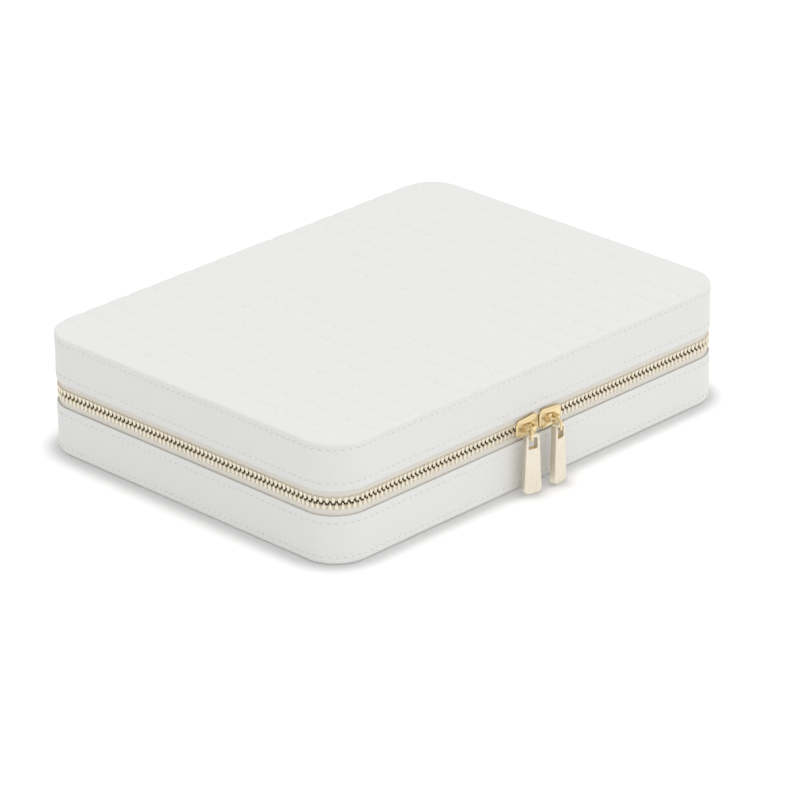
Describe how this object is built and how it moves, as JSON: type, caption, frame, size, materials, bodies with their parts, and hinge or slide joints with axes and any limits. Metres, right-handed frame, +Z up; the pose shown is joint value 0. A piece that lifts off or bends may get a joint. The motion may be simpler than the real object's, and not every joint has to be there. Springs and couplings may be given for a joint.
{
  "type": "zip-around jewelry case",
  "caption": "Low leather jewelry case with rounded corners, a quilted lid on a leather spine, a metal zip with long pulls, and a lined inside with dividers and ring rolls.",
  "frame": {"origin": "middle of the underside", "axes": "+X along the front, -Y out of the front with the pulls, +Z up"},
  "size_m": [0.25, 0.1984, 0.057],
  "materials": {
    "white_leather": "smooth, satin",
    "lining_suede": "short-napped suede",
    "ring_velvet": "velvet",
    "core_board": "raw fibreboard",
    "quilt_foam": "open foam",
    "zip_tape": "woven",
    "zip_metal": "pale gold plate, polished",
    "slider_gold": "gold plate, polished",
    "pull_gold": "champagne gold plate, satin",
    "mirror_silver": "silvered",
    "trim_leather": "smooth, satin",
    "knob_gold": "gold plate, polished",
    "pocket_cloth": "gathered suede cloth",
    "pocket_elastic": "ribbed elastic"
  },
  "bodies": {
    "base": {"base_bottom_panel": "white_leather", "base_side_leather": "white_leather", "base_floor_board": "core_board", "base_wall_core": "core_board", "base_floor_lining": "lining_suede", "base_wall_lining": "lining_suede", "divider_left": "lining_suede", "divider_right": "lining_suede", "divider_ring_bank": "lining_suede", "divider_left_cross": "lining_suede", "divider_right_cross": "lining_suede", "ring_roll_1": "ring_velvet", "ring_roll_2": "ring_velvet", "ring_roll_3": "ring_velvet", "ring_roll_4": "ring_velvet", "ring_roll_5": "ring_velvet", "ring_roll_6": "ring_velvet", "zipper_tape_lower": "zip_tape", "zipper_teeth_lower": "zip_metal", "zipper_stops_lower": "zip_metal", "hinge_spine": "white_leather"},
    "lid": {"lid_quilted_panel": "white_leather", "lid_foam_pad": "quilt_foam", "lid_top_board": "core_board", "lid_side_leather": "white_leather", "lid_wall_core": "core_board", "lid_top_lining": "lining_suede", "lid_wall_lining": "lining_suede", "zipper_tape_upper": "zip_tape", "zipper_teeth_upper": "zip_metal", "zipper_stops_upper": "zip_metal", "mirror_glass": "mirror_silver", "mirror_frame": "trim_leather", "necklace_bar": "trim_leather", "necklace_knobs": "knob_gold", "pocket_panel": "pocket_cloth", "pocket_hem": "pocket_elastic"},
    "left_slider": {"left_slider_body": "slider_gold", "left_slider_crown": "slider_gold"},
    "left_link": {"left_pull_link": "slider_gold"},
    "left_pull": {"left_pull_tab": "pull_gold"},
    "right_slider": {"right_slider_body": "slider_gold", "right_slider_crown": "slider_gold"},
    "right_link": {"right_pull_link": "slider_gold"},
    "right_pull": {"right_pull_tab": "pull_gold"}
  },
  "joints": [
    {"name": "lid_hinge", "type": "hinge", "parent": "base", "child": "lid", "pos_m": [0, 0.0939, 0.0291], "axis": [-1, 0, 0], "range_deg": [0, 180], "deforming": ["hinge_spine", "zipper_teeth_upper"]},
    {"name": "left_slider_slide", "type": "slide", "parent": "base", "child": "left_slider", "axis": [-1, 0, 0], "range_m": [0, 0.09], "deforming": ["zipper_teeth_lower", "zipper_teeth_upper", "zipper_tape_lower", "zipper_tape_upper"]},
    {"name": "right_slider_slide", "type": "slide", "parent": "base", "child": "right_slider", "axis": [1, 0, 0], "range_m": [0, 0.09], "deforming": ["zipper_teeth_lower", "zipper_teeth_upper", "zipper_tape_lower", "zipper_tape_upper"]},
    {"name": "left_link_turn", "type": "hinge", "parent": "left_slider", "child": "left_link", "pos_m": [-0.0073, -0.09565, 0.0291], "axis": [0, 0, 1], "range_deg": [-12, 8]},
    {"name": "right_link_turn", "type": "hinge", "parent": "right_slider", "child": "right_link", "pos_m": [0.0073, -0.09565, 0.0291], "axis": [0, 0, 1], "range_deg": [-4, 25]},
    {"name": "left_pull_swing", "type": "hinge", "parent": "left_link", "child": "left_pull", "pos_m": [-0.01098, -0.09974, 0.02645], "axis": [-0.6691, -0.7431, 0], "range_deg": [-4, 35]},
    {"name": "right_pull_swing", "type": "hinge", "parent": "right_link", "child": "right_pull", "pos_m": [0.00506, -0.10068, 0.02645], "axis": [-0.4067, -0.9135, 0], "range_deg": [-5, 35]}
  ]
}
